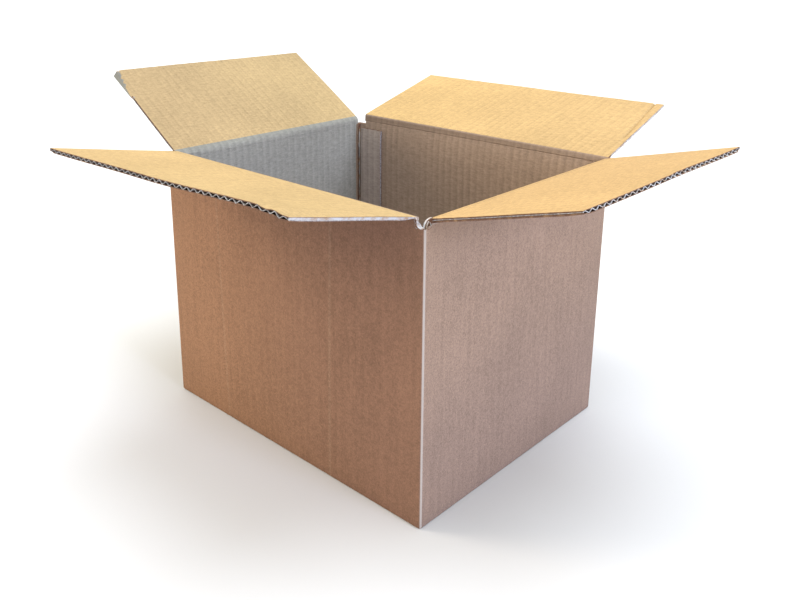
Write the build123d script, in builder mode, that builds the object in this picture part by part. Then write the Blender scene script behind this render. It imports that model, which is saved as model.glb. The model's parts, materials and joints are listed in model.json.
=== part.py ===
"""An open corrugated-board shipping box, folded from one blank.

The box stands on XY with its origin under the middle of its base. Its long walls face -Y and +Y
(front and back), its short walls face -X and +X (left and right). The board is two liners with a
fluted medium between them. The flutes run up the walls and out along the flaps. They end open at
each flap's outer edge and are crushed shut at each crease.
"""

from build123d import *

import os
from math import cos, pi, radians, sin

# Overall sizes, in mm, over the outside of the board
length = 300.0
width = 240.0
height = 236.0

# The board: two liners and a fluted medium
board = 3.8
liner = 0.4
medium = 0.35
flute_pitch = 8.0
flute_facets = 5

# Folds, and the length of flute that each fold crushes flat
corner_radius = 2.0
inner_radius = 1.0
base_radius = 1.4
crush = 5.0

# Slots between neighbouring flaps: how far they clear the walls, and their depth below the creases
slot_clearance = 0.5
slot_depth = 9.0
slot_radius = 2.0

# Gaps between flaps when they are shut
flap_clearance = 0.2
seam_gap = 0.5

# Glue tab, pressed thinner, inside the back wall at its left end
tab_length = 30.0
tab_board = 3.0
tab_drop = 11.0
raw_end_gap = 0.2

# How far each flap leans outward from upright, in degrees
front_lean = 78.4
right_lean = 73.8
back_lean = 75.0
left_lean = 58.5

# The short flaps shut first, so their creases are one board lower and their reach one board longer
crease_step = board + flap_clearance
long_crease = height
short_crease = height - crease_step
long_depth = (width - seam_gap) / 2
short_depth = long_depth + crease_step
slot_half = board + slot_clearance
long_flap_length = length - 2 * slot_half
short_flap_length = width - 2 * slot_half
raw_end_setback = corner_radius + raw_end_gap
slot_floor = height - slot_depth
inside_floor = 2 * board

UP = Vector(0, 0, 1)
FRONT = Vector(0, -1, 0)
RIGHT = Vector(1, 0, 0)
BACK = Vector(0, 1, 0)
LEFT = Vector(-1, 0, 0)


def cell_outline(thickness):
    """One empty cell of the flute, seen along it: a flat foot on a liner under an arch of medium."""
    rise = thickness - 2 * liner - medium
    half = 0.4 * flute_pitch
    crest = (1 + cos(pi / flute_facets)) / 2
    points = []
    for facet in range(flute_facets + 1):
        across = half * (2 * facet / flute_facets - 1)
        points.append((across, rise * (1 + cos(pi * across / half)) / 2 / crest))
    return points


def cut_cells(open_end, run, depth, thickness=board):
    """Cut the cells into a board, back from the plane of their open end.

    The plane's X runs along the board's edge with its origin in the middle of the run, and its Y
    rises through the board from one face. Cells stand on the two liners by turns.
    """
    outline = cell_outline(thickness)
    cells = int(2 * run / flute_pitch) - 1
    with BuildSketch(open_end) as section:
        for cell in range(cells):
            middle = (cell - (cells - 1) / 2) * flute_pitch / 2
            if cell % 2 == 0:
                points = [(middle + across, liner + up) for across, up in outline]
            else:
                points = [(middle + across, thickness - liner - up) for across, up in outline]
            Polygon(*points, align=None)
    extrude(section.sketch, amount=-depth, mode=Mode.SUBTRACT)


def add_bottom_flap(outward, reach, base, flap_length, depth):
    """A bottom flap folded in flat from its wall, with its cells open at its inner edge."""
    inner_edge = Plane(origin=outward * (reach - depth) + UP * base, x_dir=outward.cross(UP), z_dir=-outward)
    with BuildSketch(inner_edge) as section:
        Rectangle(flap_length, board, align=(Align.CENTER, Align.MIN))
    extrude(section.sketch, amount=-(depth - board / 2))
    cut_cells(inner_edge, flap_length, depth - board - crush)


def finish_wall(outward, reach, crease, wall_length):
    """Slot a wall's corners, mitre its top below its crease and cut the sealed cells within it."""
    wall_face = Plane(origin=outward * reach + UP * slot_floor, x_dir=UP.cross(outward), z_dir=outward)
    with BuildSketch(wall_face) as slots:
        with Locations((-wall_length / 2, 0), (wall_length / 2, 0)):
            RectangleRounded(2 * slot_half, 2 * slot_depth, slot_radius, align=(Align.CENTER, Align.MIN))
    extrude(slots.sketch, amount=-board, mode=Mode.SUBTRACT)

    across_wall = Plane(origin=outward * reach + UP * crease, x_dir=-outward, z_dir=UP.cross(outward))
    with BuildSketch(across_wall) as waste:
        Polygon((-board, 0), (0, 0), (board, -board), (2 * board, -board), (2 * board, 2 * board),
                (-board, 2 * board), align=None)
    extrude(waste.sketch, amount=wall_length / 2, both=True, mode=Mode.SUBTRACT)

    top = crease - board - crush
    flute_top = Plane(origin=outward * reach + UP * top, x_dir=UP.cross(outward), z_dir=UP)
    flute_run = wall_length - 2 * (board + crush)
    cut_cells(flute_top, flute_run, top - inside_floor - crush)


def make_flap(label, outward, reach, crease, lean, flap_length, depth):
    """A top flap, hinged on its outer face along the top of its wall and leaning outward."""
    tilt = radians(lean)
    along = outward * sin(tilt) + UP * cos(tilt)
    inner_normal = UP * sin(tilt) - outward * cos(tilt)
    hinge = inner_normal.cross(along)
    origin = outward * reach + UP * crease

    with BuildPart() as flap:
        # The crease is crushed from inside, so the board starts as a mitre from its outer face
        with BuildSketch(Plane(origin=origin, x_dir=along, z_dir=-hinge)):
            Polygon((0, 0), (depth, 0), (depth, board), (board, board), align=None)
        extrude(amount=flap_length / 2, both=True)
        outer_edge = Plane(origin=origin + along * depth, x_dir=hinge, z_dir=along)
        cut_cells(outer_edge, flap_length, depth - board - crush)
    flap.part.label = label
    export_step(flap.part, f"parts/{label}.step")


os.makedirs("parts", exist_ok=True)

# The body: four walls, the glue tab and the shut bottom, one folded sheet
with BuildPart() as box_body:
    # The strip of walls seen from above, with its raw end set back at the left of the back wall
    with BuildSketch():
        with BuildLine():
            Polyline(
                (-length / 2, -width / 2),
                (length / 2, -width / 2),
                (length / 2, width / 2),
                (-length / 2 + raw_end_setback, width / 2),
                (-length / 2 + raw_end_setback, width / 2 - board),
                (-length / 2, width / 2 - board),
                close=True,
            )
        make_face()
        left_folds = vertices().group_by(Axis.X)[0]
        right_folds = vertices().group_by(Axis.X)[-1]
        fillet(left_folds + right_folds, radius=corner_radius)
        RectangleRounded(length - 2 * board, width - 2 * board, inner_radius, mode=Mode.SUBTRACT)
    extrude(amount=long_crease)

    # The outer folds along the base
    fillet(box_body.faces().sort_by(Axis.Z)[0].outer_wire().edges(), radius=base_radius)

    finish_wall(FRONT, width / 2, long_crease, length)
    finish_wall(BACK, width / 2, long_crease, length)
    finish_wall(LEFT, length / 2, short_crease, width)
    finish_wall(RIGHT, length / 2, short_crease, width)

    # The bottom: the short flaps lie on the long ones, which meet along the middle
    add_bottom_flap(FRONT, width / 2, 0, long_flap_length, long_depth)
    add_bottom_flap(BACK, width / 2, 0, long_flap_length, long_depth)
    add_bottom_flap(LEFT, length / 2, board, short_flap_length, short_depth)
    add_bottom_flap(RIGHT, length / 2, board, short_flap_length, short_depth)

    # The glue tab, open at both ends of its cells
    tab_top = height - tab_drop
    tab_bottom = inside_floor + tab_drop
    tab_middle = -length / 2 + board + tab_length / 2
    tab_end = Plane(origin=(tab_middle, width / 2 - board, tab_top), x_dir=(-1, 0, 0), z_dir=UP)
    with BuildSketch(tab_end):
        Rectangle(tab_length, tab_board, align=(Align.CENTER, Align.MIN))
    extrude(amount=-(tab_top - tab_bottom))
    cut_cells(tab_end, tab_length, tab_top - tab_bottom, tab_board)
box_body.part.label = "box_body"
export_step(box_body.part, "parts/box_body.step")

make_flap("front_flap", FRONT, width / 2, long_crease, front_lean, long_flap_length, long_depth)
make_flap("back_flap", BACK, width / 2, long_crease, back_lean, long_flap_length, long_depth)
make_flap("left_flap", LEFT, length / 2, short_crease, left_lean, short_flap_length, short_depth)
make_flap("right_flap", RIGHT, length / 2, short_crease, right_lean, short_flap_length, short_depth)
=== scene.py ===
import json
import math

import bmesh
import bpy
from bpy.props import FloatProperty, FloatVectorProperty, PointerProperty
from mathutils import Matrix, Vector, noise


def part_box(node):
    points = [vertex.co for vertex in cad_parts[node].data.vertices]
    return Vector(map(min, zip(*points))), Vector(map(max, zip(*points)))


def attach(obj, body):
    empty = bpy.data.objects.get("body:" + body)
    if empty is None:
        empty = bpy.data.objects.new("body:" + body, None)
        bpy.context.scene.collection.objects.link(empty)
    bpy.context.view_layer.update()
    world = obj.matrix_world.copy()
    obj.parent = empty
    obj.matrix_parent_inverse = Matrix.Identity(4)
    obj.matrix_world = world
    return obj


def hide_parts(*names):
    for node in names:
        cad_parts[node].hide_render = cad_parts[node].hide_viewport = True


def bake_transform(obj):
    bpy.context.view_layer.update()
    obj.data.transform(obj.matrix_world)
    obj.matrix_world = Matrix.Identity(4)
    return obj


bl_info = {
    "name": "Open cardboard box",
    "version": (1, 0, 0),
    "blender": (4, 5, 0),
    "location": "3D View > Sidebar > Carton",
    "description": "Kraft corrugated box with four open top flaps, one piece at a time",
    "category": "Add Mesh",
}

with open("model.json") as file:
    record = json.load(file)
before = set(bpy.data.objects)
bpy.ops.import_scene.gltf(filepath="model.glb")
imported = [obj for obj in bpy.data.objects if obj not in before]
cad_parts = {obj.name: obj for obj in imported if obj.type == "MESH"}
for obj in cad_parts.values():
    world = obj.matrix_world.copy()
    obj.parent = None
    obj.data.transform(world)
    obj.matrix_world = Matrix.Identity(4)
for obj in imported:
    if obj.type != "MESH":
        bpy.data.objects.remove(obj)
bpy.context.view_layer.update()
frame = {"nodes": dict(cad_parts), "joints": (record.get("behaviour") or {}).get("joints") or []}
BODY_LOW, BODY_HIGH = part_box("box_body")
MM = 0.001
# Places nearer one another than this are the same place
TINY = 0.001 * MM
UP = Vector((0, 0, 1))


# Sizes and colours


class BoardSizes(bpy.types.PropertyGroup):
    """The corrugated board and the cuts made in it."""

    board: FloatProperty(
        name="Board", description="Thickness over both liners", default=3.8 * MM, unit="LENGTH"
    )
    liner: FloatProperty(
        name="Liner", description="Thickness of each facing paper", default=0.42 * MM, unit="LENGTH"
    )
    medium: FloatProperty(
        name="Medium", description="Thickness of the fluted paper", default=0.34 * MM, unit="LENGTH"
    )
    flute_pitch: FloatProperty(
        name="Flute pitch", description="Crest to crest", default=8.0 * MM, unit="LENGTH"
    )
    tab_board: FloatProperty(
        name="Tab board", description="Thickness of the pressed glue tab", default=3.0 * MM, unit="LENGTH"
    )
    tab_length: FloatProperty(
        name="Tab length", description="Reach of the glue tab along the back wall",
        default=35 * MM, unit="LENGTH",
    )
    tab_fold: FloatProperty(
        name="Tab fold", description="Width of the crushed fold beside the glue tab",
        default=6.6 * MM, unit="LENGTH",
    )
    tab_drop: FloatProperty(
        name="Tab drop", description="How far the tab stops short of the wall's top",
        default=11 * MM, unit="LENGTH",
    )
    slot_half: FloatProperty(
        name="Slot half width", description="From an outer corner to its slot's side",
        default=4.3 * MM, unit="LENGTH",
    )
    slot_depth: FloatProperty(
        name="Slot depth", description="From the long creases down to the slot floor",
        default=9 * MM, unit="LENGTH",
    )
    slot_radius: FloatProperty(
        name="Slot radius", description="Rounding of the slot floor", default=2 * MM, unit="LENGTH"
    )
    tab_slot: FloatProperty(
        name="Tab slot", description="Width of the slot beside the glue tab", default=14 * MM, unit="LENGTH"
    )
    near_slot_lift: FloatProperty(
        name="Near slot lift", description="How much shallower the torn near slot is",
        default=3.2 * MM, unit="LENGTH",
    )
    near_slot_spread: FloatProperty(
        name="Near slot spread", description="How much wider the torn near slot is",
        default=2.2 * MM, unit="LENGTH",
    )
    tab_slot_lift: FloatProperty(
        name="Tab slot lift", description="How much shallower the slot beside the tab is",
        default=2.2 * MM, unit="LENGTH",
    )
    fold_radius: FloatProperty(
        name="Fold radius", description="Outer radius of the upright folds", default=1.4 * MM, unit="LENGTH"
    )
    base_radius: FloatProperty(
        name="Base radius", description="Outer radius of the folds under the box",
        default=1.4 * MM, unit="LENGTH",
    )
    seam: FloatProperty(
        name="Bottom seam", description="Gap between the long bottom flaps", default=0.5 * MM, unit="LENGTH"
    )


class Wear(bpy.types.PropertyGroup):
    """How far handling has bent the board out of its cut shape."""

    wall_bow: FloatProperty(
        name="Wall bow", description="How far each wall bulges at its middle",
        default=0.7 * MM, unit="LENGTH",
    )
    ripple: FloatProperty(
        name="Ripple", description="Height of the flaps' slow waves", default=0.5 * MM, unit="LENGTH"
    )
    ragged: FloatProperty(
        name="Ragged edge", description="Unevenness of the cut edges", default=0.35 * MM, unit="LENGTH"
    )
    worn_corner: FloatProperty(
        name="Worn corner", description="Board lost at the front flap's near corner",
        default=1.5 * MM, unit="LENGTH",
    )
    corner_curl: FloatProperty(
        name="Corner curl", description="Rise of the front flap beside its bent corner",
        default=2.6 * MM, unit="LENGTH",
    )
    crush: FloatProperty(
        name="Crush", description="Depth of the crushed place on the front flap's edge",
        default=0.9 * MM, unit="LENGTH",
    )
    bent_strip: FloatProperty(
        name="Bent strip", description="How far the left flap's side is bent down",
        default=math.radians(66), subtype="ANGLE",
    )
    dent: FloatProperty(
        name="Dent", description="Depth of the pressed line on the back flap",
        default=1.3 * MM, unit="LENGTH",
    )


class Finish(bpy.types.PropertyGroup):
    """The colours of the papers."""

    outside: FloatVectorProperty(
        name="Outside", description="Outer facing paper",
        default=(0.30, 0.186, 0.134), subtype="COLOR", min=0, max=1,
    )
    inside: FloatVectorProperty(
        name="Inside", description="Inner facing paper",
        default=(0.45, 0.31, 0.15), subtype="COLOR", min=0, max=1,
    )
    # Painted shade: the inner paper deep in the box, greyer and darker than on the flaps
    wall_inside_painted_shade: FloatVectorProperty(
        name="Inside of walls", description="Inner facing paper deep in the box",
        default=(0.36, 0.276, 0.2375), subtype="COLOR", min=0, max=1,
    )
    rubbed: FloatVectorProperty(
        name="Rubbed fold", description="The near fold, rubbed pale",
        default=(0.46, 0.40, 0.37), subtype="COLOR", min=0, max=1,
    )
    dark: FloatVectorProperty(
        name="Dark fibre", description="Darker fibres in the papers",
        default=(0.34, 0.205, 0.115), subtype="COLOR", min=0, max=1,
    )
    pale: FloatVectorProperty(
        name="Pale fibre", description="Paler fibres and rubbed folds",
        default=(0.66, 0.52, 0.38), subtype="COLOR", min=0, max=1,
    )
    fluting: FloatVectorProperty(
        name="Fluting", description="Fluted paper inside the board",
        default=(0.13, 0.11, 0.12), subtype="COLOR", min=0, max=1,
    )
    cut: FloatVectorProperty(
        name="Torn fibre", description="Cut or torn fibre",
        default=(0.50, 0.50, 0.54), subtype="COLOR", min=0, max=1,
    )
    rim: FloatVectorProperty(
        name="Liner rim", description="Rim of a facing paper",
        default=(0.13, 0.065, 0.045), subtype="COLOR", min=0, max=1,
    )


class Stage(bpy.types.PropertyGroup):
    """Floor, lights and camera."""

    floor: FloatVectorProperty(
        name="Floor", description="Floor colour", default=(0.62, 0.63, 0.68), subtype="COLOR", min=0, max=1
    )
    azimuth: FloatProperty(
        name="Azimuth", description="Camera's turn round the box",
        default=math.radians(43.67), subtype="ANGLE",
    )
    elevation: FloatProperty(
        name="Elevation", description="Camera's height above level",
        default=math.radians(15.03), subtype="ANGLE",
    )
    roll: FloatProperty(
        name="Roll", description="Camera's tilt about its own line of sight",
        default=math.radians(-0.02), subtype="ANGLE",
    )
    distance: FloatProperty(
        name="Distance", description="Camera to the point that it looks at", default=0.74764, unit="LENGTH"
    )
    target: FloatVectorProperty(
        name="Target", description="Point that the camera looks at",
        default=(-0.00854, 0, 0.2105), subtype="TRANSLATION",
    )
    lens: FloatProperty(name="Lens", description="Focal length in mm", default=37.773)
    shift: FloatVectorProperty(
        name="Shift", description="Lens shift, in widths of the frame", default=(0.030, -0.1474), size=2
    )


# The box's own geometry


class TopFlap:
    """Where one top flap hinges, which way it leans, and how far it reaches."""

    def __init__(self, side):
        self.node = side + "_flap"
        joint = next(j for j in frame["joints"] if j["child"] == self.node)
        axis = Vector(joint["axis"])
        self.hinge = Vector(joint["pos_m"])
        self.outward = axis.cross(UP)
        self.across = -axis
        self.lean = math.radians(-joint["range_deg"][0] - 90)
        self.along = self.outward * math.sin(self.lean) + UP * math.cos(self.lean)
        self.inward = UP * math.sin(self.lean) - self.outward * math.cos(self.lean)
        offsets = [v.co - self.hinge for v in frame["nodes"][self.node].data.vertices]
        self.reach = max(offset.dot(self.along) for offset in offsets)
        self.half = max(offset.dot(self.across) for offset in offsets)
        self.board = bpy.context.scene.carton_board.board


def placing(across, along, inward, origin):
    """The matrix that stands a flat board up: X runs across it, Y along its flutes, Z through it."""
    return Matrix.Translation(origin) @ Matrix((across, along, inward)).transposed().to_4x4()


def lerp(a, b, t):
    return a + (b - a) * t


def clamp(value):
    return min(1.0, max(0.0, value))


def ease(value, low, high):
    """0 below low, 1 above high, and a smooth step between."""
    t = clamp((value - low) / (high - low))
    return t * t * (3 - 2 * t)


def bell(value, middle, half):
    """1 at the middle, falling smoothly to 0 at half either side."""
    return 1 - ease(abs(value - middle), 0, half)


# How far, in mm, the front left corner leans left and the back wall's top leans back. The lean keeps to the
# corners, fading along the walls by a high power, up to the height where the walls' tops join in
LEAN_LEFT, LEAN_BACK = -3.0, 5.0
CORNER_POWER = 30
TOPS_FROM = 0.205


def flared(place):
    """Where a place on the box has gone, since its walls lean out a little at two corners."""
    left = clamp((BODY_HIGH.x - place.x) / (2 * BODY_HIGH.x))
    back = clamp((place.y - BODY_LOW.y) / (2 * BODY_HIGH.y))
    up = clamp((place.z - TOPS_FROM) / (BODY_HIGH.z - TOPS_FROM)) ** 2
    height = clamp(place.z / BODY_HIGH.z)
    front_corner = lerp((1 - back) ** CORNER_POWER, 1 - back, up)
    back_corner = lerp((1 - left) ** CORNER_POWER * height, 1 - left * 0.6, up)
    return place + Vector((LEAN_LEFT * left * front_corner, LEAN_BACK * back * back_corner, 0)) * MM


# Two faces that meet more sharply than this show an edge
SHARP_FROM = math.radians(35)


def object_from(bm, name, materials):
    """Finish a mesh, give it its papers and put it in the scene."""
    for v in bm.verts:
        v.co = flared(v.co)
    bmesh.ops.recalc_face_normals(bm, faces=bm.faces)
    mesh = bpy.data.meshes.new(name)
    bm.to_mesh(mesh)
    bm.free()
    for material in materials:
        mesh.materials.append(material)
    mesh.shade_smooth()
    mesh.set_sharp_from_angle(angle=SHARP_FROM)
    piece = bpy.data.objects.new(name, mesh)
    bpy.context.scene.collection.objects.link(piece)
    return piece


# Face materials of every board, in the order that papers() gives them
OUTSIDE, INSIDE, CUT, FLUTING, LIP, SHADED = range(6)


# The mesh of a board: the width of its columns and rows, how much the rows crowd towards the outer end, and
# the faces across one flute
COLUMN, ROW = 2.5 * MM, 4.5 * MM
CROWDING = 1.4
FLUTE_FACES = 8

# What the knife leaves at the outer end: how far the liners swell into the board, and how deep in the medium
# shows as cut fibre and the liners as rim
SWELL = 0.35 * MM
FIBRE_DEPTH, RIM_DEPTH = 0.9 * MM, 3 * MM


def faces_of(verts):
    """The faces round some vertices, each once."""
    return list(dict.fromkeys(face for v in verts for face in v.link_faces))


def paper_sheet(bm, half, start, reach, level, thickness, columns, rows):
    """A flat sheet of paper with thickness, its rows crowded towards the outer end."""
    sheet = bmesh.ops.create_grid(bm, x_segments=columns, y_segments=rows, size=0.5)["verts"]
    for v in sheet:
        out = 1 - (0.5 - v.co.y) ** CROWDING
        v.co = Vector((v.co.x * 2 * half, lerp(start, reach, out), level))
    faces = faces_of(sheet)
    before = set(bm.verts)
    bmesh.ops.solidify(bm, geom=faces, thickness=thickness)
    raised = [v for v in bm.verts if v not in before]
    for v in raised:
        v.co.z = level + thickness
    return sheet + raised


def liner_face_paper(face, sizes, board, reach):
    """Which paper a face of either liner shows."""
    middle = face.calc_center_median()
    lowest, highest = sizes.liner / 2, board - sizes.liner / 2
    at_rim = middle.y > reach - RIM_DEPTH and lowest < middle.z < highest
    if abs(face.normal.z) < 0.5 or at_rim:
        return LIP
    if middle.z < lowest:
        return OUTSIDE
    return INSIDE if middle.z > highest else FLUTING


def fluted_board(bm, sizes, half, reach, board, start=0.0, fine=1.0, side_papers=(LIP, LIP)):
    """A flat piece of board: two liners, a wave of medium between them and a pressed strip closing each side.

    A board that starts at 0 is mitred there, to meet its crease.
    """
    columns = max(8, int(2 * half / COLUMN * fine))
    rows = max(6, int(reach / ROW * fine))
    liners = paper_sheet(bm, half, start, reach, 0, sizes.liner, columns, rows)
    liners += paper_sheet(bm, half, start, reach, board - sizes.liner, sizes.liner, columns, rows)
    for v in liners:
        swell = SWELL * ease(v.co.y, reach - 1.5 * MM, reach)
        if abs(v.co.z - sizes.liner) < TINY:
            v.co.z += swell
        elif abs(v.co.z - board + sizes.liner) < TINY:
            v.co.z -= swell
    swing = (board - 2 * sizes.liner - sizes.medium) / 2
    faces_across = int(2 * half / sizes.flute_pitch * FLUTE_FACES)
    wave = paper_sheet(bm, half, start, reach, 0, sizes.medium, faces_across, max(4, rows // 2))
    for v in wave:
        turn = 2 * math.pi * v.co.x / sizes.flute_pitch
        frayed = 1 + 1.3 * ease(v.co.y, reach - 2 * MM, reach)
        v.co.z = (v.co.z - sizes.medium / 2) * frayed + board / 2
        v.co.z += swing * (math.sin(turn) - 0.07 * math.sin(3 * turn)) / 1.07
    closed = {}
    for side, paper in zip((-1, 1), side_papers):
        strip = paper_sheet(bm, board / 2 - sizes.liner, start, reach, 0, sizes.medium, 4, rows)
        for v in strip:
            hollow = 0.4 * MM * (1 - (2 * v.co.x / board) ** 2)
            v.co = Vector((side * (half - sizes.medium - hollow + v.co.z), v.co.y, board / 2 + v.co.x))
        closed.update((v, paper) for v in strip)
    if start == 0:
        for v in bm.verts:
            v.co.y = max(v.co.y, v.co.z)
    wave = set(wave)
    bm.normal_update()
    for face in bm.faces:
        if face.verts[0] in wave:
            is_fibre = face.calc_center_median().y > reach - FIBRE_DEPTH
            face.material_index = CUT if is_fibre else FLUTING
        elif face.verts[0] in closed:
            face.material_index = closed[face.verts[0]]
        else:
            face.material_index = liner_face_paper(face, sizes, board, reach)


def aside_of(start, end):
    """The direction across the line from start to end, to its right."""
    return Vector((end.y - start.y, start.x - end.x, 0)).normalized()


def beyond(place, start, end):
    """How far a place lies past the line from start to end, to its right."""
    return (place - start).dot(aside_of(start, end))


def score(bm, start, end, offsets):
    """Cut mesh edges along lines beside the one from start to end, so that the board can bend there."""
    aside = aside_of(start, end)
    for offset in offsets:
        geometry = list(bm.verts) + list(bm.edges) + list(bm.faces)
        bmesh.ops.bisect_plane(bm, geom=geometry, plane_co=start + aside * offset, plane_no=aside)


def along_path(path, share):
    """The point a share of the way along a smooth curve through the points of a path."""
    place = share * (len(path) - 1)
    first = min(int(place), len(path) - 2)
    start, end = path[first], path[first + 1]
    before, after = path[max(first - 1, 0)], path[min(first + 2, len(path) - 1)]
    t = place - first
    pull = (end - before) * (t * (1 - t) ** 2) / 2 - (after - start) * (t * t * (1 - t)) / 2
    return start.lerp(end, t * t * (3 - 2 * t)) + pull


def torn_strip(bm, path, depth, thickness, steps=18):
    """A ribbon of torn paper bent along a path, reaching off it by depth."""
    ribbon = bmesh.ops.create_grid(bm, x_segments=steps, y_segments=3, size=0.5)["verts"]
    for v in ribbon:
        v.co = along_path(path, v.co.x + 0.5) + depth * (v.co.y + 0.5)
    faces = faces_of(ribbon)
    grown = bmesh.ops.solidify(bm, geom=faces, thickness=thickness)["geom"]
    for face in faces + [g for g in grown if isinstance(g, bmesh.types.BMFace)]:
        face.material_index = CUT
    return ribbon


# Papers


class Wire:
    """One value on its way through a material, ready for sums with others."""

    def __init__(self, recipe, socket):
        self.recipe = recipe
        self.socket = socket

    def maths(self, operation, *values):
        return self.recipe.node("ShaderNodeMath", {"operation": operation}, dict(enumerate(values)))

    def __add__(self, other):
        return self.maths("ADD", self, other)

    def __radd__(self, other):
        return self.maths("ADD", other, self)

    def __sub__(self, other):
        return self.maths("SUBTRACT", self, other)

    def __rsub__(self, other):
        return self.maths("SUBTRACT", other, self)

    def __mul__(self, other):
        return self.maths("MULTIPLY", self, other)

    def __rmul__(self, other):
        return self.maths("MULTIPLY", other, self)

    def __abs__(self):
        return self.maths("ABSOLUTE", self)


class Recipe:
    """A paper's node tree, made one node at a time."""

    def __init__(self, name):
        self.material = bpy.data.materials.new(name)
        self.material.use_nodes = True
        self.tree = self.material.node_tree
        self.shader = self.tree.nodes["Principled BSDF"]
        self.place = self.node("ShaderNodeTexCoord", output="Object")
        parts = self.node("ShaderNodeSeparateXYZ", None, {0: self.place}).socket.node
        self.x, self.y, self.z = (Wire(self, part) for part in parts.outputs)

    def feed(self, socket, value):
        if isinstance(value, Wire):
            self.tree.links.new(value.socket, socket)
        elif hasattr(value, "__len__") and len(value) == 3 and socket.type == "RGBA":
            socket.default_value = (*value, 1)
        else:
            socket.default_value = value

    def node(self, kind, settings=None, sockets=None, output=0):
        """Any node: its type, its settings, the values or wires of its sockets, and which output to use."""
        made = self.tree.nodes.new(kind)
        for name, value in (settings or {}).items():
            setattr(made, name, value)
        for name, value in (sockets or {}).items():
            self.feed(made.inputs[name], value)
        return Wire(self, made.outputs[output])

    def grain(self, scale, detail=3.0, rough=0.55, stretch=(1, 1, 1)):
        """Noise about 0, with so many features to the metre, stretched along an axis by a small factor."""
        placed = self.node("ShaderNodeMapping", None, {"Vector": self.place, "Scale": stretch})
        look = {"Vector": placed, "Scale": scale, "Detail": detail, "Roughness": rough}
        return self.node("ShaderNodeTexNoise", None, look) - 0.5

    def step(self, value, low, high, floor=0.0, ceiling=1.0):
        """A smooth step of a value between two levels."""
        return self.node(
            "ShaderNodeMapRange",
            {"interpolation_type": "SMOOTHSTEP"},
            {"Value": value, "From Min": low, "From Max": high, "To Min": floor, "To Max": ceiling},
        )

    def mix(self, share, first, second):
        """A share of the second colour in the first; a colour Mix node has its colours at 6 and 7."""
        return self.node("ShaderNodeMix", {"data_type": "RGBA"}, {0: share, 6: first, 7: second}, 2)

    def set(self, **sockets):
        for name, value in sockets.items():
            self.feed(self.shader.inputs[name.replace("_", " ")], value)

    def relief(self, height):
        """Raise the surface by a height in millimetres."""
        bump = self.node("ShaderNodeBump", None, {"Height": height, "Distance": MM, "Strength": 1.0})
        self.set(Normal=bump)


def flute_lines(recipe, across, pitch):
    """Washboard lines over the hidden flutes: a wave about 0, uneven in strength."""
    turn = (across + recipe.grain(14, 1.0) * (0.8 * MM)) * (2 * math.pi / pitch)
    patch = recipe.step(recipe.grain(30, 2.0, 0.5, (1, 1, 0.25)), -0.25, 0.2, 0.25, 1.0)
    return turn.maths("SINE", turn) * patch


def upright_line(recipe, across, low, high, width):
    """1 along a nearly upright line whose place across is low at the floor and high at the top."""
    lean = (high - low) / BODY_HIGH.z
    away = abs(across - low - recipe.z * lean)
    return recipe.step(away, width, width * 0.2)


# Tints of the facing papers on each panel, outside, inside its flap and deep in the box, most of them painted
# light
# and shade: the axis that the change runs along, from where to where in metres, and the tint at each end
PAINTED_LIGHT_TINTS = {
    "outside_front": ("x", -0.13, 0.13, (1.02, 0.88, 0.71), (0.76, 0.67, 0.64)),
    "outside_right": ("z", 0.03, 0.20, (0.88, 0.98, 1.11), (1.05, 1.15, 1.2)),
    "outside_back": ("x", -0.13, 0.13, (0.9, 0.85, 0.8), (0.9, 0.85, 0.8)),
    "outside_left": ("z", 0.03, 0.20, (0.9, 0.9, 0.9), (1.0, 1.0, 1.0)),
    "inside_front": ("x", -0.15, 0.15, (0.98, 0.98, 1.0), (0.96, 0.98, 1.02)),
    "inside_right": ("y", -0.12, 0.12, (0.98, 0.94, 0.95), (0.97, 0.93, 0.96)),
    "inside_back": ("x", -0.15, 0.15, (1.03, 1.01, 0.97), (0.94, 0.93, 0.95)),
    "inside_left": ("y", -0.12, 0.12, (0.79, 0.82, 0.93), (0.84, 0.88, 0.95)),
    "shaded_front": ("x", -0.15, 0.15, (1, 1, 1), (1, 1, 1)),
    "shaded_right": ("y", -0.12, 0.12, (1, 1, 1), (1, 1, 1)),
    "shaded_back": ("x", -0.14, 0.12, (0.93, 0.92, 0.92), (1.0, 0.96, 0.90)),
    "shaded_tab": ("z", 0.02, 0.22, (1.0, 1.12, 1.28), (1.06, 1.2, 1.4)),
    "shaded_left": ("y", -0.12, 0.12, (0.69, 0.89, 0.97), (0.74, 0.95, 1.02)),
}


# Two old press marks on the outside of the front panel: where each stands at the floor and at the wall's top
PRESS_MARKS = ((-0.0777, -0.0830), (0.0546, 0.0596))
PRESS_WIDTH = 2.1 * MM

# How much darker and paler than its own tone the fibres take a paper
DARKER, PALER = 0.62, 1.4

# Where the painted shade at a shaded paper's crease bend begins and ends, up the wall
CREASE_BEND = (0.229, 0.237)


def rubbed_fold(recipe, fibre):
    """1 where the near fold is rubbed pale, on its right."""
    past = recipe.y - BODY_LOW.y
    at_fold = recipe.step(recipe.x, BODY_HIGH.x - 1.6 * MM, BODY_HIGH.x - 0.9 * MM)
    near_side = recipe.step(past + fibre * (1.2 * MM), 2.4 * MM, 1.7 * MM)
    return near_side * recipe.step(past, 0.1 * MM, 0.5 * MM) * at_fold


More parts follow.
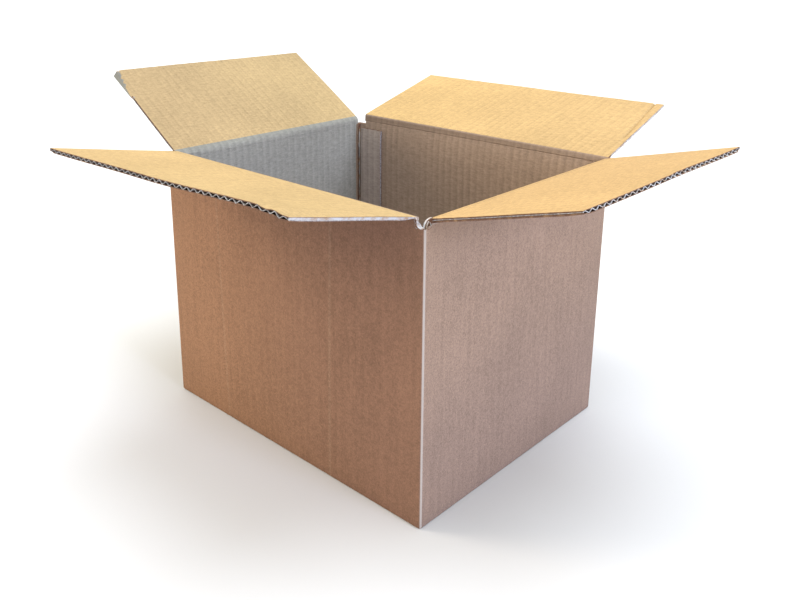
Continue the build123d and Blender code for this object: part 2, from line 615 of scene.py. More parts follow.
def liner_paper(kind, side, base):
    """Kraft facing paper: fine fibres and mottling, the flutes showing through, and its panel's painted light
    and shade.
    """
    finish = bpy.context.scene.carton_finish
    sizes = bpy.context.scene.carton_board
    recipe = Recipe("kraft_" + kind + "_" + side)
    axis, low, high, first, last = PAINTED_LIGHT_TINTS[kind + "_" + side]
    is_long = side in ("front", "back", "tab")
    across = recipe.x if is_long else recipe.y
    along_crease = (0.28, 1, 1) if is_long else (1, 0.28, 1)
    fine = recipe.grain(1500, 2.0, 0.6)
    fibre = recipe.grain(760, 3.0, 0.6, (1, 1, 0.85))
    mottle = recipe.grain(230, 2.0, 0.55)
    cloud = recipe.grain(13, 2.0, 0.5)
    lines = flute_lines(recipe, across, sizes.flute_pitch)
    if kind != "outside":
        crinkle = recipe.grain(640, 2.0, 0.55, along_crease)
        ribs = flute_lines(recipe, across, sizes.flute_pitch / 2)
        shade = fine * 0.4 + fibre * 0.45 + mottle * 0.2 + cloud * 0.3 + crinkle * 0.55 + ribs * 0.04
        shade = shade + lines * (0.09 if kind == "shaded" else 0.04)
        height = fine * 0.05 + fibre * 0.06 + crinkle * 0.24 + mottle * 0.04 + lines * 0.035 + ribs * 0.03
    else:
        streak = recipe.grain(260, 2.0, 0.5, (1, 1, 0.05))
        shade = fine * 0.9 + fibre * 0.9 + mottle * 0.3 + cloud * 0.3 + streak * 0.25 + lines * 0.02
        height = fine * 0.08 + fibre * 0.10 + mottle * 0.05 + lines * 0.02
    # Painted light and shade: the panel's tint runs from one end to the other along an axis
    run = recipe.step(getattr(recipe, axis) + cloud * 0.03, low, high)
    first, last = [Vector(tone * share for tone, share in zip(base, tint)) for tint in (first, last)]
    dark = recipe.mix(run, first * DARKER, last * DARKER)
    pale = recipe.mix(run, first * PALER, last * PALER)
    colour = recipe.mix(recipe.step(shade, -0.55, 0.55), dark, pale)
    if kind == "shaded":
        # Painted shade: the paper darkens up the crease's bend, where shade falls
        colour = recipe.mix(recipe.step(recipe.z, *CREASE_BEND) * 0.5, colour, dark)
    if kind == "outside" and side == "front":
        lines = [upright_line(recipe, across, *ends, PRESS_WIDTH) for ends in PRESS_MARKS]
        colour = recipe.mix((lines[0] + lines[1]) * (0.06 + fibre * 0.22), colour, finish.pale)
    if kind == "outside" and side in ("front", "right"):
        colour = recipe.mix(rubbed_fold(recipe, fibre) * 0.9, colour, finish.rubbed)
    recipe.set(Base_Color=colour, Roughness=0.88, Specular_IOR_Level=0.25)
    recipe.relief(height)
    return recipe.material


def fluting_paper():
    """The rougher, greyer paper of the wave, seen in the cells."""
    finish = bpy.context.scene.carton_finish
    recipe = Recipe("fluting_paper")
    fibre = recipe.grain(700, 3.0, 0.6)
    colour = recipe.mix(recipe.step(fibre, -0.3, 0.35), finish.fluting, finish.cut)
    recipe.set(Base_Color=colour, Roughness=0.92)
    recipe.relief(fibre * 0.1)
    return recipe.material


def torn_fibre():
    """Pale fibre where the board was cut or torn."""
    finish = bpy.context.scene.carton_finish
    recipe = Recipe("torn_fibre")
    fibre = recipe.grain(1400, 3.0, 0.6)
    smudge = recipe.grain(160, 2.0, 0.5)
    colour = recipe.mix(recipe.step(fibre * 0.5 + smudge, -0.30, 0.12), finish.dark, finish.cut)
    recipe.set(Base_Color=colour, Roughness=0.92)
    recipe.relief(fibre * 0.2)
    return recipe.material


def liner_edge():
    """The darker rim of a facing paper, laid also as painted shade on board sides and ends in shade."""
    finish = bpy.context.scene.carton_finish
    recipe = Recipe("liner_edge")
    smudge = recipe.grain(240, 2.0, 0.5)
    colour = recipe.mix(recipe.step(smudge, -0.1, 0.4), finish.rim, finish.dark)
    recipe.set(Base_Color=colour, Roughness=0.9)
    recipe.relief(smudge * 0.2)
    return recipe.material


def papers(side, of_wall=False):
    """The papers of one panel of board, in the order of its face materials."""
    found = bpy.data.materials
    finish = bpy.context.scene.carton_finish
    outside = found.get("kraft_outside_" + side) or liner_paper("outside", side, finish.outside)
    inside = found.get("kraft_inside_" + side) or liner_paper("inside", side, finish.inside)
    # The shaded paper is the inner paper with painted shade
    shaded = found.get("kraft_shaded_" + side) or liner_paper("shaded", side, finish.wall_inside_painted_shade)
    return [
        outside,
        shaded if of_wall else inside,
        found.get("torn_fibre") or torn_fibre(),
        found.get("fluting_paper") or fluting_paper(),
        found.get("liner_edge") or liner_edge(),
        shaded,
    ]


# Walls


def fold_about(corner, ahead, inward, turn, depth, sizes):
    """A point of the folded sheet near an upright fold: turn runs from -1 to 1 through it."""
    radius, inner_radius = sizes.fold_radius, sizes.slot_half - sizes.board
    along = turn * sizes.slot_half
    if along <= -radius:
        outer = corner + ahead * along
    elif along >= radius:
        outer = corner + inward * along
    else:
        angle = (along / radius + 1) * math.pi / 4
        middle = corner - ahead * radius + inward * radius
        outer = middle + (ahead * math.sin(angle) - inward * math.cos(angle)) * radius
    inner_corner = corner + (inward - ahead) * sizes.board
    angle = (turn + 1) * math.pi / 4
    middle = inner_corner + (inward - ahead) * inner_radius
    inner = middle + (ahead * math.sin(angle) - inward * math.cos(angle)) * inner_radius
    return outer.lerp(inner, depth / sizes.board)


# Which way each wall bows, from the back wall round: 1 outward, -1 inward
BOWED = (1, -1, 1, 1)


def spread(start, end, pitch):
    """Evenly spaced places from start up to end, end left out."""
    count = max(1, round((end - start) / pitch))
    return [lerp(start, end, i / count) for i in range(count)]


class WallStrip:
    """The strip of board that the walls are folded from: lengths run along it from the raw end at the back
    left corner, round to the glue tab's fold, and heights up it from the floor."""

    def __init__(self, sizes):
        self.sizes = sizes
        self.length, self.width, self.top = 2 * BODY_HIGH.x, 2 * BODY_HIGH.y, BODY_HIGH.z
        self.short_top = TopFlap("left").hinge.z
        self.floor = self.top - sizes.slot_depth
        self.round_up = sizes.slot_radius * (1 - math.sqrt(0.5))
        length, width = self.length, self.width
        self.folds = [length, length + width, 2 * length + width, 2 * (length + width) - sizes.board]
        self.corners = [
            Vector((length / 2, width / 2, 0)),
            Vector((length / 2, -width / 2, 0)),
            Vector((-length / 2, -width / 2, 0)),
            Vector((-length / 2, width / 2 - sizes.board, 0)),
        ]
        self.starts = [Vector((-length / 2, width / 2, 0))] + self.corners
        self.begins = [0] + self.folds
        self.ahead = [Vector(way) for way in ((1, 0, 0), (0, -1, 0), (-1, 0, 0), (0, 1, 0), (1, 0, 0))]
        self.inward = self.ahead[1:4] + self.ahead[:2]

    def past_fold(self, along):
        """How far past the nearest fold a place lies, below 0 before it."""
        return min((along - fold for fold in self.folds), key=abs)

    def wall(self, along):
        """The number of the wall at a place, from the back wall round; 4 is the glue tab."""
        return sum(along > fold for fold in self.folds)

    def mesh_lines(self):
        """Where the lines of the strip's mesh lie, along it and up it."""
        sizes, reach, floor = self.sizes, self.sizes.slot_half, self.floor
        near_fold = [reach, reach - self.round_up, reach - sizes.slot_radius]
        near_fold += [0.75 * sizes.fold_radius, 0.4 * sizes.fold_radius]
        columns = [sizes.fold_radius + 0.2 * MM, sizes.tab_slot / 2]
        start = sizes.tab_slot
        for fold in self.folds:
            columns += spread(start, fold - reach, 9 * MM)
            columns += [fold - d for d in near_fold] + [fold] + [fold + d for d in reversed(near_fold)]
            start = columns.pop()
        columns += [start, start + 2 * MM]
        rows = [0, 0.4 * MM, sizes.base_radius] + spread(8 * MM, floor - 6 * MM, 11 * MM)
        rows += [floor - 6 * MM, floor, floor + self.round_up, floor + sizes.slot_radius]
        return columns, rows + [self.short_top, self.top]

    def is_waste(self, place):
        """Whether a place is cut away: in a slot, over a short wall's top or beside the glue tab's end."""
        sizes, reach, floor = self.sizes, self.sizes.slot_half, self.floor
        near = abs(self.past_fold(place.x))
        return (
            (near < reach - self.round_up and place.y > floor + self.round_up)
            or (near < reach - sizes.slot_radius and place.y > floor)
            or (near < reach and place.y > floor + sizes.slot_radius)
            or (place.x < sizes.tab_slot and place.y > floor)
            or (self.wall(place.x) in (1, 3) and place.y > self.short_top)
            or (place.x > self.folds[-1] and place.y > floor)
        )

    def shape_slot(self, place):
        """Round the slots' floors, raise two of them, and widen the torn one."""
        sizes, reach, floor = self.sizes, self.sizes.slot_half, self.floor
        near_fold = self.folds[1]
        away, radius, round_up = self.past_fold(place.x), sizes.slot_radius, self.round_up
        if abs(abs(away) - (reach - radius)) < TINY and abs(place.y - floor - round_up) < TINY:
            place.y = floor
        if abs(abs(away) - (reach - round_up)) < TINY and abs(place.y - floor - radius) < TINY:
            place.x += math.copysign(round_up, away)
        if floor - TINY < place.y < floor + radius + TINY:
            if abs(place.x - near_fold) < reach + TINY:
                place.y += sizes.near_slot_lift
            elif place.x < sizes.tab_slot + TINY or place.x > self.folds[3] - 2 * reach:
                place.y += sizes.tab_slot_lift
        if place.y > floor - TINY and near_fold < place.x < near_fold + reach + TINY:
            place.x += sizes.near_slot_spread * (place.x - near_fold) / reach

    def face_material(self, face):
        """A wall's papers follow one another in the object's list, one wall's after another's."""
        middle = face.calc_center_median()
        if abs(face.normal.z) < 0.5:
            return CUT if abs(middle.x - self.folds[1]) < 2 * self.sizes.slot_half else LIP
        first = self.wall(middle.x) % 4 * (SHADED + 1)
        return first + (OUTSIDE if middle.z < self.sizes.board / 2 else INSIDE)

    def press_ends(self, place):
        """Step the inner liner down under the creases, and round the outer liner under the box."""
        radius = self.sizes.base_radius
        crease = self.top if self.wall(place.x) in (0, 2) else self.short_top
        if place.z > self.sizes.board / 2:
            place.y = min(place.y, crease - self.sizes.board)
        elif place.y < radius:
            place.z = radius - math.sqrt(radius**2 - (radius - place.y) ** 2)

    def folded(self, place, wall_bow):
        """Where a place comes to lie in the box, its height above the strip being its depth in the board."""
        along, up, depth = place
        away = self.past_fold(along)
        if abs(away) < self.sizes.slot_half + 0.1 * TINY:
            fold = self.folds.index(min(self.folds, key=lambda f: abs(along - f)))
            ahead, inward = self.ahead[fold], self.inward[fold]
            turn = away / self.sizes.slot_half
            return fold_about(self.corners[fold], ahead, inward, turn, depth, self.sizes) + UP * up
        wall = self.wall(along)
        ran = along - self.begins[wall]
        placed = self.starts[wall] + self.ahead[wall] * ran + self.inward[wall] * depth
        if wall < 4:
            span = self.length if wall in (0, 2) else self.width
            bow = wall_bow * math.sin(math.pi * (ran / span)) * math.sin(math.pi * min(1, up / self.top))
            placed -= self.inward[wall] * bow * BOWED[wall]
        return placed + UP * up


class CARTON_OT_walls(bpy.types.Operator):
    """Fold the four walls from one strip of board, slotted at its corners"""

    bl_idname = "carton.walls"
    bl_label = "Walls"

    def execute(self, context):
        sizes = context.scene.carton_board
        strip = WallStrip(sizes)
        columns, rows = strip.mesh_lines()
        bm = bmesh.new()
        bmesh.ops.create_grid(bm, x_segments=len(columns) - 1, y_segments=len(rows) - 1, size=0.5)
        for v in bm.verts:
            column = round((v.co.x + 0.5) * (len(columns) - 1))
            row = round((v.co.y + 0.5) * (len(rows) - 1))
            v.co = Vector((columns[column], rows[row], 0))

        waste = [face for face in bm.faces if strip.is_waste(face.calc_center_median())]
        bmesh.ops.delete(bm, geom=waste, context="FACES")
        for v in bm.verts:
            strip.shape_slot(v.co)
        bmesh.ops.remove_doubles(bm, verts=bm.verts, dist=TINY)

        # Give the strip its board thickness
        outer = set(bm.verts)
        bmesh.ops.solidify(bm, geom=list(bm.faces), thickness=sizes.board)
        for v in bm.verts:
            v.co.z = 0 if v in outer else sizes.board
        bm.normal_update()
        for face in bm.faces:
            face.material_index = strip.face_material(face)
        for v in bm.verts:
            strip.press_ends(v.co)
        bmesh.ops.remove_doubles(bm, verts=bm.verts, dist=TINY)

        for v in bm.verts:
            v.co = strip.folded(v.co, context.scene.carton_wear.wall_bow)
        # The walls' inner faces get the shaded paper, with painted shade deep in the box
        wall_papers = [paper for side in ("back", "right", "front", "left") for paper in papers(side, True)]
        piece = object_from(bm, "box_walls", wall_papers)
        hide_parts("box_body")
        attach(piece, "box")
        return {"FINISHED"}


class CARTON_OT_bottom(bpy.types.Operator):
    """Close the base with two short flaps lying on two long ones"""

    bl_idname = "carton.bottom"
    bl_label = "Bottom flaps"

    def execute(self, context):
        sizes = context.scene.carton_board
        for side in ("front", "back", "left", "right"):
            flap = TopFlap(side)
            is_long = side in ("front", "back")
            foot = Vector((flap.hinge.x, flap.hinge.y, 0 if is_long else sizes.board))
            reach = BODY_HIGH.y - sizes.seam / 2 if is_long else flap.reach
            bm = bmesh.new()
            fluted_board(bm, sizes, flap.half, reach, sizes.board, start=sizes.board, fine=0.5)
            along = -flap.outward
            bmesh.ops.transform(bm, matrix=placing(along.cross(UP), along, UP, foot), verts=bm.verts)
            # The bottom flaps' inner faces get the shaded paper, with painted shade
            piece = object_from(bm, side + "_bottom_flap", papers("back" if is_long else "right", True))
            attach(piece, "box")
        return {"FINISHED"}


# Ribbons of torn paper round the near slot, in mm from the near corner and the long creases' height:
# the wall that each stands in, its thickness, its depth through the board, and its path along and up
SCRAPS = [
    ("front", 0.5, 1.3, [(-9.6, 1.0), (-8.6, 1.5), (-7.3, 0.7), (-6.9, -0.6), (-6.4, -2.1), (-7.0, -3.6)]),
    ("front", 0.7, 1.0, [(-8.8, 0.0), (-8.0, -1.4), (-7.4, -2.9)]),
    ("front", 0.5, 1.2, [(-8.4, -2.7), (-8.6, -4.5), (-7.4, -5.5), (-5.4, -5.9), (-2.4, -5.6), (-0.4, -5.2)]),
    ("right", 0.7, 1.2, [(-0.4, -4.6), (0.2, -2.0), (1.6, 0.1), (4.0, 1.2), (6.9, 1.5), (8.8, 0.9)]),
    ("right", 0.6, 1.0, [(4.6, -0.2), (3.2, -2.0), (2.2, -4.5)]),
    ("right", 0.5, 0.9, [(5.4, -1.0), (6.6, -2.6), (6.4, -4.4), (5.2, -5.6), (3.5, -5.8)]),
]


class CARTON_OT_torn_slot(bpy.types.Operator):
    """Curl torn strips of paper round the near slot"""

    bl_idname = "carton.torn_slot"
    bl_label = "Torn slot"

    def execute(self, context):
        corner = Vector((BODY_HIGH.x, BODY_LOW.y, TopFlap("front").hinge.z))
        along = {"front": Vector((1, 0, 0)), "right": Vector((0, 1, 0))}
        inward = {"front": Vector((0, 1, 0)), "right": Vector((-1, 0, 0))}
        # Unless it is seeded, vector noise differs from run to run
        noise.seed_set(1)
        bm = bmesh.new()
        for wall, thickness, depth, path in SCRAPS:
            start = corner - inward[wall] * 0.3 * MM
            points = [start + (along[wall] * out + UP * up) * MM for out, up in path]
            ribbon = torn_strip(bm, points, inward[wall] * depth * MM, thickness * MM)
            for v in ribbon:
                v.co += noise.noise_vector(v.co * 500) * 0.25 * MM
        piece = object_from(bm, "near_slot_scraps", papers("front"))
        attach(piece, "box")
        return {"FINISHED"}


class CARTON_OT_glue_tab(bpy.types.Operator):
    """Lay the glue tab flat inside the back wall"""

    bl_idname = "carton.glue_tab"
    bl_label = "Glue tab"

    def execute(self, context):
        sizes = context.scene.carton_board
        low = 2 * sizes.board + sizes.tab_drop
        high = BODY_HIGH.z - sizes.tab_drop
        half = (sizes.tab_length - sizes.tab_fold) / 2
        bm = bmesh.new()
        # Painted shade: the tab's free side gets the dark fluting paper, and its cut top the dark rim paper
        fluted_board(bm, sizes, half, high - low, sizes.tab_board, TINY, 0.6, side_papers=(LIP, FLUTING))
        for face in bm.faces:
            if face.material_index == CUT:
                face.material_index = LIP
        left = BODY_LOW.x + sizes.board
        foot = Vector((left + sizes.tab_fold + half, BODY_HIGH.y - sizes.board, low))
        across, inward = Vector((1, 0, 0)), Vector((0, -1, 0))
        bmesh.ops.transform(bm, matrix=placing(across, UP, inward, foot), verts=bm.verts)
        fold = [Vector((left + 3.4 * MM, foot.y - sizes.tab_board, lerp(low, high, i / 8))) for i in range(9)]
        torn_strip(bm, fold, Vector((1.9 * MM, 0.2 * MM, 0)), 1.4 * MM, steps=60)
        # The tab's inner face gets the shaded paper with its own bluer tint, as painted cool shade
        tab_papers = papers("back", True)
        tab_papers[INSIDE] = liner_paper("shaded", "tab", context.scene.carton_finish.wall_inside_painted_shade)
        piece = object_from(bm, "glue_tab", tab_papers)
        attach(piece, "box")
        return {"FINISHED"}


# Top flaps


# How each flap sits off its cut shape, in mm: the sideways set and lift of its two crease ends, and where
# its two outer corners have gone
SET = {
    "front": ((3.8, -2.0), (-9.0, -1.7), (-1.7, -2.2, 1.5), (-2.6, -7.0, -4.3)),
    "right": ((-2.2, 1.2), (-2.6, 0.8), (3.2, -7.2, -2.8), (3.2, -3.9, -1.4)),
    "back": ((8.3, 0.8), (4.6, -0.8), (0.0, 0.4, -1.0), (-3.0, -1.8, -1.8)),
    "left": ((3.0, -1.0), (-1.2, 0.0), (5.4, -2.2, -1.2), (3.1, -3.0, -1.0)),
}


def set_askew(place, side, flap):
    """Where a place on a flap goes as its crease ends and outer corners shift."""
    low_end, high_end, low_corner, high_corner = SET[side]
    share, out = (place.x + flap.half) / (2 * flap.half), place.y / flap.reach
    corner = Vector(low_corner).lerp(Vector(high_corner), share) * MM
    aside, lift = Vector(low_end).lerp(Vector(high_end), share) * MM
    clear = max(min(1.0, place.y / (10 * MM)), min(1.0, place.z / flap.board))
    place += Vector((lerp(aside, corner.x, out), corner.y * out, lerp(lift, corner.z, out) * clear))


# How far in from a flap's outer edge and from its sides the board is pressed thinner, and what is left of its
# thickness at that edge and at the two sides
PRESSED_END, PRESSED_SIDE = 12 * MM, 9 * MM
PINCH = {
    "front": (0.9, (0.72, 0.6)),
    "right": (0.8, (0.6, 0.72)),
    "back": (0.8, (0.8, 0.5)),
    "left": (0.8, (0.6, 0.8)),
}


def pinch(place, side, flap, sizes):
    """Press the board thinner towards its cut edges, its inner face staying put."""
    at_edge, at_sides = PINCH[side]
    thin = 1 - (1 - at_edge) * ease(place.y, flap.reach - PRESSED_END, flap.reach)
    thin *= 1 - (1 - at_sides[0]) * ease(-place.x, flap.half - PRESSED_SIDE, flap.half)
    thin *= 1 - (1 - at_sides[1]) * ease(place.x, flap.half - PRESSED_SIDE, flap.half)
    place.z = sizes.board - (sizes.board - place.z) * thin


def ripple(place, wear, seed):
    """The slow waves over a flap, a few to its length."""
    return noise.noise(Vector((place.x * 11 + seed, place.y * 11, seed))) * wear.ripple


def ragged(place, wear, seed):
    """The fine unevenness along a cut edge, and from liner to liner."""
    return noise.noise(Vector((place.x * 300 + seed, place.z * 900, seed))) * wear.ragged


def wear_front(place, flap, sizes, wear):
    """The front flap's worn near corner, the curl that rises towards it, and the lip crushed beside it."""
    near_edge = ease(place.y, flap.reach - 12 * MM, flap.reach)
    place.y -= wear.worn_corner * ease(-place.x, flap.half - 6 * MM, flap.half + 2 * MM) * near_edge
    lifted = ease(-place.x, 0.0, 126 * MM) * (1 - ease(-place.x, 126.5 * MM, flap.half))
    place.z += wear.corner_curl * lifted * (place.y / flap.reach) ** 2
    crushed = bell(place.x, -125.5 * MM, 9 * MM) * near_edge
    place.z -= wear.crush * crushed * place.z / sizes.board
    place.y -= 0.5 * wear.crush * crushed


def wear_right(place, flap, sizes, wear):
    """The step half way along the right flap's outer edge, past which its outer liner stands out."""
    far_half = (1 - ease(place.x, -2 * MM, 2 * MM)) * place.y / flap.reach
    place.y -= 1.3 * MM * far_half
    if place.z < sizes.board * (1 - PINCH["right"][0]) + sizes.liner * 1.1:
        place.y += 1.4 * MM * far_half * ease(place.y, flap.reach - 6 * MM, flap.reach - 2 * MM)


# The line pressed into the back flap beside its right edge, and the one that the left flap's side bends at
DENT = (Vector((0.1365, 0.12, 0)), Vector((0.142, 0.030, 0)))
BEND = (Vector((-0.1157, 0.080, 0)), Vector((-0.1098, 0.1238, 0)))


def wear_back(place, flap, sizes, wear):
    """The line pressed into the back flap's inner face."""
    along = ease(place.y, 20 * MM, 50 * MM)
    place.z -= wear.dent * bell(beyond(place, *DENT), 0, 1.8 * MM) * along * place.z / sizes.board


def wear_left(place, flap, sizes, wear):
    """The strip of the left flap's side that is bent down."""
    past = beyond(place, *BEND)
    if past < 0:
        height = place.z - sizes.board / 2
        turn_in, turn_down = math.cos(wear.bent_strip), math.sin(wear.bent_strip)
        place -= aside_of(*BEND) * (past - past * turn_in + height * turn_down)
        place.z = sizes.board / 2 + past * turn_down + height * turn_in


# Each flap's wear, and the lines that its mesh is cut along first, with how far beside them
FLAP_WEAR = {
    "front": (wear_front, None, ()),
    "right": (wear_right, None, ()),
    "back": (wear_back, DENT, (-1.8 * MM, -0.9 * MM, 0, 0.9 * MM, 1.8 * MM)),
    "left": (wear_left, BEND, (0, -0.8 * MM)),
}


# Frayed bits along the back flap's right side, in mm: how far from the crease, how long, and how far they
# stand out
FRAYS = ((22, 11, 0.7), (34, 13, 1.0), (50, 9, 0.6), (74, 6, 0.4))


def fray(bm, flap, sizes):
    """Lift thin strips of paper along the back flap's right side."""
    for start, length, bulge in FRAYS:
        path = [
            Vector((flap.half + out * MM, (start + length * share) * MM, sizes.board - 0.5 * MM))
            for share, out in ((0, -0.3), (0.3, bulge), (0.7, bulge * 0.6), (1, -0.2))
        ]
        torn_strip(bm, path, Vector((0.5, 0, -1.8)) * MM, 0.3 * MM, steps=10)


def repaper(bm, side, flap):
    """Change the paper of two flaps' faces, as painted shade: the front one's cut wave at its outer edge gets
    the dark fluting paper, and the left one's bent-down strip the greyer shaded paper.
    """
    for face in bm.faces:
        middle = face.calc_center_median()
        at_end = middle.y > flap.reach - MM and abs(middle.x) < flap.half - MM
        if side == "front" and face.material_index == CUT and at_end:
            face.material_index = FLUTING
        elif side == "left" and face.material_index == INSIDE and beyond(middle, *BEND) < 0:
            face.material_index = SHADED


class CARTON_OT_top_flaps(bpy.types.Operator):
    """Make the four top flaps, each open at its outer edge, with their wear"""

    bl_idname = "carton.top_flaps"
    bl_label = "Top flaps"

    def execute(self, context):
        sizes, wear = context.scene.carton_board, context.scene.carton_wear
        for seed, (side, (worn, line, offsets)) in enumerate(FLAP_WEAR.items()):
            flap = TopFlap(side)
            bm = bmesh.new()
            # The flaps' sides: the front flap's near side gets pale cut fibre, brightened as painted light
            # from the right, the back flap's right side pale cut fibre, and the rest the dark rim paper, on
            # the right flap's near side as painted shade
            pale_side = (CUT if side == "front" else LIP, CUT if side == "back" else LIP)
            fluted_board(bm, sizes, flap.half, flap.reach, sizes.board, side_papers=pale_side)
            if line:
                score(bm, *line, offsets)
            repaper(bm, side, flap)
            if side == "back":
                fray(bm, flap, sizes)
            for v in bm.verts:
                cut = v.co.copy()
                pinch(v.co, side, flap, sizes)
                worn(v.co, flap, sizes, wear)
                set_askew(v.co, side, flap)
                v.co.z += ripple(cut, wear, 7.3 * seed) * ease(cut.y, 0, 50 * MM)
                v.co.y += ragged(cut, wear, 3.1 * seed) * ease(cut.y, flap.reach - 4 * MM, flap.reach)
            stand = placing(flap.across, flap.along, flap.inward, flap.hinge)
            bmesh.ops.transform(bm, matrix=stand, verts=bm.verts)
            piece = object_from(bm, side + "_flap_board", papers(side))
            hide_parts(flap.node)
            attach(piece, flap.node)
        return {"FINISHED"}


# The radius of each crease's inner bend, and the depth of the groove pressed under it
CREASES = {
    "front": (2.6 * MM, 0.6 * MM),
    "right": (2.6 * MM, 0.6 * MM),
    "back": (3.0 * MM, 0.6 * MM),
    "left": (5.0 * MM, 0.15 * MM),
}
BEND_STEPS = 6
CREASE_LENGTHS = 24


def crease_section(flap, radius, groove):
    """A crease cut through, from its hinge line over the wall's top and round to the flap's start."""
    board = flap.board

    def at(inward, up):
        return flap.hinge - flap.outward * inward + UP * up

    half_turn = math.tan(flap.lean / 2)
    knee = Vector((board, board * half_turn))
    middle = knee - Vector((radius, radius * half_turn))
    section = [at(0, 0), at(board, -board)]
    section += [at(board - groove, groove - board), at(board, 2 * groove - board)]
    for step in range(BEND_STEPS + 1):
        angle = flap.lean * step / BEND_STEPS
        section.append(at(middle.x + radius * math.cos(angle), middle.y + radius * math.sin(angle)))
    start = (flap.along + flap.inward) * board
    bend_end = knee + Vector((-math.sin(flap.lean), math.cos(flap.lean))) * radius * half_turn
    section.append(at(*bend_end.lerp(Vector((-start.dot(flap.outward), start.z)), 0.5)))
    return section + [flap.hinge + start]


def swept(section, way, low, high):
    """A mesh of a section drawn along a direction from low to high, closed at both ends."""
    bm = bmesh.new()
    cap = bm.faces.new([bm.verts.new(point + way * low) for point in section])
    for step in range(CREASE_LENGTHS):
        grown = bmesh.ops.extrude_face_region(bm, geom=[cap])["geom"]
        moved = [g for g in grown if isinstance(g, bmesh.types.BMVert)]
        bmesh.ops.translate(bm, vec=way * ((high - low) / CREASE_LENGTHS), verts=moved)
        old, cap = cap, next(g for g in grown if isinstance(g, bmesh.types.BMFace))
        if old.is_valid and step > 0:
            bmesh.ops.delete(bm, geom=[old], context="FACES_ONLY")
    bmesh.ops.recalc_face_normals(bm, faces=bm.faces)
    return bm


class CARTON_OT_creases(bpy.types.Operator):
    """Bend the board over each crease, between the top of its wall and its flap"""

    bl_idname = "carton.creases"
    bl_label = "Creases"

    def execute(self, context):
        for side, (radius, groove) in CREASES.items():
            flap = TopFlap(side)
            section = crease_section(flap, radius, groove)
            low_end, high_end = [Vector(end) * MM for end in SET[side][:2]]
            low, high = low_end.x - flap.half, high_end.x + flap.half
            bm = swept(section, flap.across, low, high)
            last_shaded = section[-2] + flap.along * (0.3 * MM)
            # Painted shade: crease faces turned down or aside, and the left crease's bend up to its flap, get
            # the greyer shaded paper
            for face in bm.faces:
                reached = (face.calc_center_median() - last_shaded).dot(flap.along)
                if abs(face.normal.dot(flap.across)) > 0.5:
                    face.material_index = CUT if side == "front" else LIP
                elif face.normal.z < 0.8 or (side == "left" and reached < 0):
                    face.material_index = SHADED
                else:
                    face.material_index = INSIDE
            for v in bm.verts:
                share = ((v.co - flap.hinge).dot(flap.across) - low) / (high - low)
                height = (v.co - flap.hinge).dot(flap.inward) / flap.board
                if height > 0.5:
                    v.co += flap.inward * lerp(low_end.y, high_end.y, share) * min(1.0, height)
            piece = object_from(bm, side + "_crease_bend", papers(side))
            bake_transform(piece)
        return {"FINISHED"}


# Stage


# Each lamp's name, the turn and height that it shines from and its spread, in degrees, its colour and
# its strength
LAMPS = [
    ("overhead_wide", 0, 90, 130, (1.0, 1.0, 0.83), 3.0),
    ("overhead_narrow", 160, 80, 35, (0.9, 0.95, 1.0), 2.0),
    ("right_low", 92, 19, 22, (0.69, 0.77, 1.0), 2.4),
    ("left_low", -60, 18, 25, (1.0, 0.84, 0.62), 2.3),
]


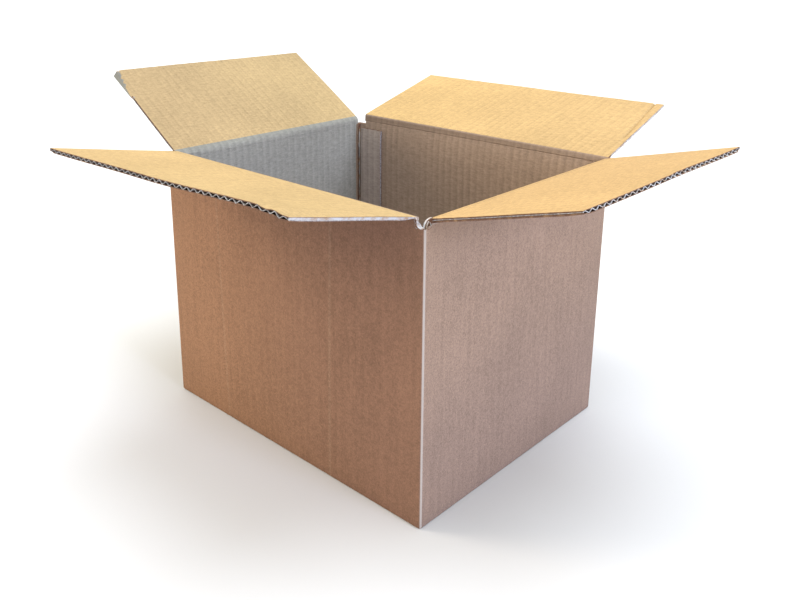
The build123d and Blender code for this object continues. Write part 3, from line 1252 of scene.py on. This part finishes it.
class CARTON_OT_stage(bpy.types.Operator):
    """Lay the floor, hang the lights and stand the camera"""

    bl_idname = "carton.stage"
    bl_label = "Stage"

    def execute(self, context):
        stage = context.scene.carton_stage
        bm = bmesh.new()
        bmesh.ops.create_grid(bm, x_segments=1, y_segments=1, size=30)
        bmesh.ops.translate(bm, vec=(0, 0, -0.2 * MM), verts=bm.verts)
        mesh = bpy.data.meshes.new("floor")
        bm.to_mesh(mesh)
        bm.free()
        recipe = Recipe("floor_paint")
        recipe.set(Base_Color=stage.floor, Roughness=0.9)
        mesh.materials.append(recipe.material)
        floor = bpy.data.objects.new("floor", mesh)
        context.scene.collection.objects.link(floor)

        world = bpy.data.worlds.new("studio")
        world.use_nodes = True
        sky = world.node_tree.nodes["Background"]
        sky.inputs["Color"].default_value = (1.0, 0.95, 0.85, 1)
        sky.inputs["Strength"].default_value = 0.2
        context.scene.world = world
        context.scene.view_settings.view_transform = "Standard"

        for name, turn, height, spread_angle, colour, strength in LAMPS:
            light = bpy.data.lights.new(name, "SUN")
            light.color = colour
            light.energy = strength
            light.angle = math.radians(spread_angle)
            lamp = bpy.data.objects.new(name, light)
            tilted = Matrix.Rotation(math.radians(90 - height), 4, "X")
            lamp.matrix_world = Matrix.Rotation(math.radians(turn), 4, "Z") @ tilted
            context.scene.collection.objects.link(lamp)

        camera = bpy.data.cameras.new("camera")
        camera.sensor_width = 36
        camera.lens = stage.lens
        camera.shift_x, camera.shift_y = stage.shift
        camera.clip_start, camera.clip_end = 0.01, 200
        right = Vector((math.cos(stage.azimuth), math.sin(stage.azimuth), 0))
        level = Vector((right.y, -right.x, 0))
        back = level * math.cos(stage.elevation) + UP * math.sin(stage.elevation)
        upward = back.cross(right)
        turned = Matrix((right, upward, back)).transposed() @ Matrix.Rotation(stage.roll, 3, "Z")
        eye = bpy.data.objects.new("camera", camera)
        eye.matrix_world = Matrix.Translation(Vector(stage.target) + back * stage.distance) @ turned.to_4x4()
        context.scene.collection.objects.link(eye)
        context.scene.camera = eye
        return {"FINISHED"}


class CARTON_PT_panel(bpy.types.Panel):
    """Buttons for each piece of the box, and its sizes and colours"""

    bl_idname = "CARTON_PT_panel"
    bl_label = "Open cardboard box"
    bl_space_type = "VIEW_3D"
    bl_region_type = "UI"
    bl_category = "Carton"

    def draw(self, context):
        for operator in OPERATORS:
            self.layout.operator(operator.bl_idname)
        for group in GROUPS:
            box = self.layout.box()
            settings = getattr(context.scene, group)
            for name in settings.bl_rna.properties.keys():
                if name not in ("rna_type", "name"):
                    box.prop(settings, name)


OPERATORS = [
    CARTON_OT_walls,
    CARTON_OT_bottom,
    CARTON_OT_torn_slot,
    CARTON_OT_glue_tab,
    CARTON_OT_top_flaps,
    CARTON_OT_creases,
    CARTON_OT_stage,
]
GROUPS = {
    "carton_board": BoardSizes,
    "carton_wear": Wear,
    "carton_finish": Finish,
    "carton_stage": Stage,
}
CLASSES = [*GROUPS.values(), *OPERATORS, CARTON_PT_panel]


def register():
    for cls in CLASSES:
        bpy.utils.register_class(cls)
    for name, group in GROUPS.items():
        setattr(bpy.types.Scene, name, PointerProperty(type=group))


def unregister():
    for name in GROUPS:
        delattr(bpy.types.Scene, name)
    for cls in reversed(CLASSES):
        bpy.utils.unregister_class(cls)


def main():
    register()
    bpy.ops.carton.walls()
    bpy.ops.carton.bottom()
    bpy.ops.carton.torn_slot()
    bpy.ops.carton.glue_tab()
    bpy.ops.carton.top_flaps()
    bpy.ops.carton.creases()
    bpy.ops.carton.stage()


if __name__ == "__main__":
    main()
